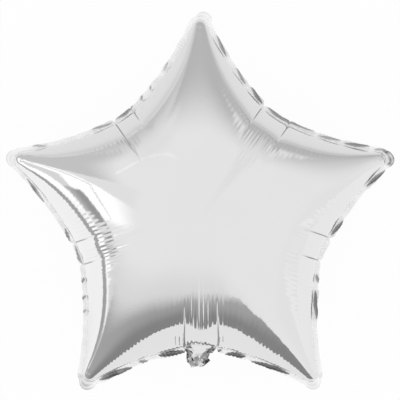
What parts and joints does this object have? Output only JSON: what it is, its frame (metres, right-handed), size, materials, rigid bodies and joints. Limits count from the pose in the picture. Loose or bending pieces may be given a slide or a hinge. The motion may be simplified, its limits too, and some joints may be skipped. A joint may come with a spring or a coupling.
{
  "type": "star foil balloon",
  "caption": "Inflated star-shaped balloon of silver metallised film, with a gathered seam band, rounded tabs at its points and a short crumpled filling neck.",
  "frame": {"origin": "middle of the small flat spot that the back sheet rests on, straight under the star's centre", "axes": "+Z out of the front sheet, +Y towards the top point of the star, +X to the right as the front is seen"},
  "size_m": [0.445, 0.4327, 0.1741],
  "materials": {
    "silver_foil": "bright metallised film, mirror-like, finely gathered along its seam"
  },
  "bodies": {
    "root": {"foil_balloon": "silver_foil"}
  },
  "joints": []
}
